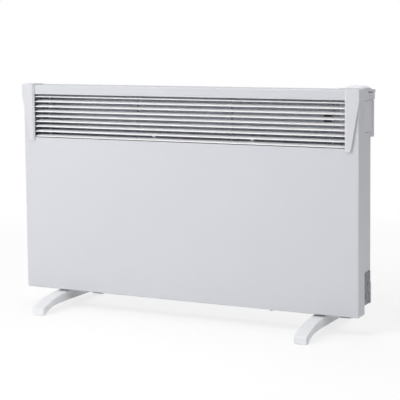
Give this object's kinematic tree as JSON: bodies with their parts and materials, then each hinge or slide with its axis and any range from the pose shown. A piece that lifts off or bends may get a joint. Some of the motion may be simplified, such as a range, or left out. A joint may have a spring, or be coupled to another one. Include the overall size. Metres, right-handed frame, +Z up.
{
  "type": "wall panel convector heater",
  "caption": "White sheet-steel panel convector on two arched feet, with a louvred warm-air outlet, tapered end caps and a rotary thermostat knob on top at the right.",
  "frame": {"origin": "on the floor under the middle of the heater, half-way between the two feet and half-way between their front and rear ends", "axes": "+X to the right seen from the front, along the casing's length; +Y to the back, towards the wall; +Z up"},
  "size_m": [0.784, 0.256, 0.4969],
  "materials": {
    "painted_steel": "white powder coat on folded sheet steel, satin",
    "painted_slat": "white powder coat on thin steel slats, satin",
    "white_abs": "moulded white ABS with a fine spark texture",
    "gloss_abs": "moulded white ABS, polished",
    "zinc_steel": "bright zinc-plated steel",
    "bare_aluminium": "extruded aluminium, as drawn",
    "ceramic": "unglazed steatite",
    "black_nylon": "moulded black nylon, matt",
    "copper": "drawn copper tube",
    "grey_foil": "bare grey aluminium foil plate, satin",
    "grey_rubber": "moulded rubber, matt"
  },
  "bodies": {
    "root": {"front_cover": "painted_steel", "back_panel": "painted_steel", "heat_shield": "zinc_steel", "end_cap_left": "white_abs", "end_cap_right": "white_abs", "blank_plate": "grey_foil", "wall_spacer_left": "white_abs", "wall_spacer_right": "white_abs", "cover_screw_1": "zinc_steel", "cover_screw_2": "zinc_steel", "louvre_slat_1": "painted_slat", "louvre_slat_2": "painted_slat", "louvre_slat_3": "painted_slat", "louvre_slat_4": "painted_slat", "louvre_slat_5": "painted_slat", "louvre_slat_6": "painted_slat", "louvre_slat_7": "painted_slat", "louvre_slat_8": "painted_slat", "louvre_slat_9": "painted_slat", "grille_rib_1": "painted_slat", "grille_rib_2": "painted_slat", "grille_rib_3": "painted_slat", "grille_rib_4": "painted_slat", "control_housing": "white_abs", "thermostat_body": "black_nylon", "sensor_bulb": "copper", "terminal_block": "ceramic", "cable_gland": "black_nylon", "thermal_cutout": "black_nylon", "element_fins": "bare_aluminium", "element_core": "zinc_steel", "element_bracket_left": "zinc_steel", "element_bracket_right": "zinc_steel", "insulator_left": "ceramic", "insulator_right": "ceramic", "foot_left": "white_abs", "foot_right": "white_abs", "pad_front_left": "grey_rubber", "pad_front_right": "grey_rubber", "pad_rear_left": "grey_rubber", "pad_rear_right": "grey_rubber", "foot_screw_1": "zinc_steel", "foot_screw_2": "zinc_steel", "foot_screw_3": "zinc_steel", "foot_screw_4": "zinc_steel"},
    "dial": {"thermostat_knob": "gloss_abs", "thermostat_spindle": "zinc_steel"}
  },
  "joints": [
    {"name": "dial_turn", "type": "hinge", "parent": "root", "child": "dial", "pos_m": [0.367, 0.02485, 0.48971], "axis": [0, -0.0849, -0.9964], "range_deg": [0, 270]}
  ]
}
